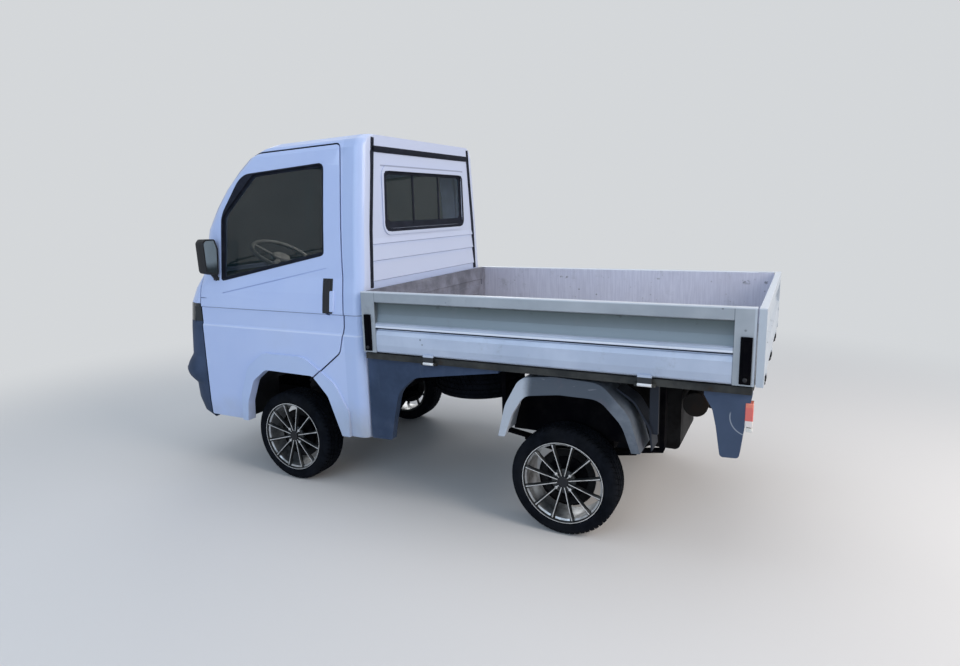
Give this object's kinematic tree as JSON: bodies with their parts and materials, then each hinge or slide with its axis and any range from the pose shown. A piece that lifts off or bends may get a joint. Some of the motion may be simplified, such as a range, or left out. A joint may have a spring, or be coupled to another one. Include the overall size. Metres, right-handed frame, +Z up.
{
  "type": "small drop-side truck",
  "caption": "two-seat small truck with a forward cab, an open bed with folding side boards and tailgate, spoked alloy wheels and plastic skirts",
  "frame": {"origin": "on the ground, at the bottom centre of the bounding box", "axes": "+Z up, -Y to the front of the truck, +X to its left"},
  "size_m": [1.6232, 3.515, 1.9998],
  "materials": {
    "white_paint": "white gloss paint",
    "slate_plastic": "moulded slate grey plastic",
    "weathered_grey": "faded grey plastic",
    "board_aluminium": "mill finish extrusions",
    "floor_plate": "scuffed sheet",
    "headboard_paint": "worn brown grey",
    "frame_paint": "dusty brown grey",
    "chassis_paint": "black chassis paint",
    "coil_paint": "black spring enamel",
    "cast_metal": "oily casting",
    "exhaust_steel": "dull heated steel",
    "black_plastic": "grained black plastic",
    "dash_plastic": "grey cab trim",
    "seat_fabric": "dark woven cover",
    "clear_glass": "clear glazing",
    "lamp_lens": "clear ribbed lens",
    "red_lens": "red and amber lens",
    "mirror_glass": "silvered glass",
    "tyre_rubber": "worn tread",
    "dark_alloy": "dark alloy, turned edges"
  },
  "bodies": {
    "body": {"cab_shell": "white_paint", "nose_panel": "white_paint", "rear_panel": "white_paint", "front_bumper": "slate_plastic", "side_skirts": "slate_plastic", "rear_mudguards": "slate_plastic", "grille": "slate_plastic", "rear_fenders": "weathered_grey", "bed_floor": "floor_plate", "headboard": "headboard_paint", "bed_frame": "frame_paint", "chassis_rails": "chassis_paint", "cross_members": "chassis_paint", "front_arms": "chassis_paint", "rack_housing": "chassis_paint", "rear_axle": "chassis_paint", "leaf_springs": "chassis_paint", "spare_carrier": "chassis_paint", "door_posts": "chassis_paint", "coil_struts": "coil_paint", "rear_dampers": "coil_paint", "engine_block": "cast_metal", "exhaust": "exhaust_steel", "wheel_liners": "black_plastic", "seat_bases": "black_plastic", "dashboard": "dash_plastic", "cab_floor": "dash_plastic", "seat_cushions": "seat_fabric", "seat_backs": "seat_fabric", "windscreen": "clear_glass", "rear_window": "clear_glass", "headlamps": "lamp_lens", "tail_lamps": "red_lens", "spare_wheel": "tyre_rubber"},
    "door_left": {"door_left": "white_paint", "door_glass_left": "clear_glass", "mirror_left": "black_plastic", "mirror_glass_left": "mirror_glass"},
    "door_right": {"door_right": "white_paint", "door_glass_right": "clear_glass", "mirror_right": "black_plastic", "mirror_glass_right": "mirror_glass"},
    "side_board_left": {"side_board_left": "board_aluminium"},
    "side_board_right": {"side_board_right": "board_aluminium"},
    "tailgate": {"tailgate": "board_aluminium"},
    "knuckle_left": {"knuckle_left": "chassis_paint"},
    "knuckle_right": {"knuckle_right": "chassis_paint"},
    "tie_rods": {"tie_rods": "chassis_paint"},
    "steering_wheel": {"steering_wheel": "black_plastic"},
    "wheel_front_left": {"tyre_front_left": "tyre_rubber", "rim_front_left": "dark_alloy"},
    "wheel_front_right": {"tyre_front_right": "tyre_rubber", "rim_front_right": "dark_alloy"},
    "wheel_rear_left": {"tyre_rear_left": "tyre_rubber", "rim_rear_left": "dark_alloy"},
    "wheel_rear_right": {"tyre_rear_right": "tyre_rubber", "rim_rear_right": "dark_alloy"}
  },
  "joints": [
    {"name": "door_left_hinge", "type": "hinge", "parent": "body", "child": "door_left", "pos_m": [0.72, -1.3995, 0.8], "axis": [0, 0, 1], "range_deg": [-65, 0]},
    {"name": "door_right_hinge", "type": "hinge", "parent": "body", "child": "door_right", "pos_m": [-0.72, -1.3995, 0.8], "axis": [0, 0, 1], "range_deg": [0, 65]},
    {"name": "side_board_left_hinge", "type": "hinge", "parent": "body", "child": "side_board_left", "pos_m": [0.737, 0.7525, 0.822], "axis": [0, 1, 0], "range_deg": [0, 175]},
    {"name": "side_board_right_hinge", "type": "hinge", "parent": "body", "child": "side_board_right", "pos_m": [-0.737, 0.7525, 0.822], "axis": [0, 1, 0], "range_deg": [-175, 0]},
    {"name": "tailgate_hinge", "type": "hinge", "parent": "body", "child": "tailgate", "pos_m": [0, 1.7505, 0.822], "axis": [-1, 0, 0], "range_deg": [0, 175]},
    {"name": "steer_left", "type": "hinge", "parent": "body", "child": "knuckle_left", "pos_m": [0.545, -0.8275, 0.273], "axis": [0, 0, 1], "range_deg": [-30, 30]},
    {"name": "steer_right", "type": "hinge", "parent": "body", "child": "knuckle_right", "pos_m": [-0.545, -0.8275, 0.273], "axis": [0, 0, 1], "range_deg": [-30, 30]},
    {"name": "rack_slide", "type": "slide", "parent": "body", "child": "tie_rods", "axis": [1, 0, 0], "range_m": [-0.0576, 0.0576]},
    {"name": "steering_wheel_turn", "type": "hinge", "parent": "body", "child": "steering_wheel", "pos_m": [0.33, -1.1275, 1.336], "axis": [0, 0.4695, 0.8829], "range_deg": [-360, 360]},
    {"name": "wheel_front_left_spin", "type": "hinge", "parent": "knuckle_left", "child": "wheel_front_left", "pos_m": [0.6055, -0.8275, 0.273], "axis": [1, 0, 0], "continuous": true},
    {"name": "wheel_front_right_spin", "type": "hinge", "parent": "knuckle_right", "child": "wheel_front_right", "pos_m": [-0.6055, -0.8275, 0.273], "axis": [1, 0, 0], "continuous": true},
    {"name": "wheel_rear_left_spin", "type": "hinge", "parent": "body", "child": "wheel_rear_left", "pos_m": [0.6055, 0.8845, 0.273], "axis": [1, 0, 0], "continuous": true},
    {"name": "wheel_rear_right_spin", "type": "hinge", "parent": "body", "child": "wheel_rear_right", "pos_m": [-0.6055, 0.8845, 0.273], "axis": [1, 0, 0], "continuous": true}
  ],
  "couplings": [
    {"joint": "steer_right", "follows": "steer_left", "ratio": 1},
    {"joint": "rack_slide", "follows": "steer_left", "m_per_rad": -0.11},
    {"joint": "steering_wheel_turn", "follows": "steer_left", "ratio": 12}
  ]
}
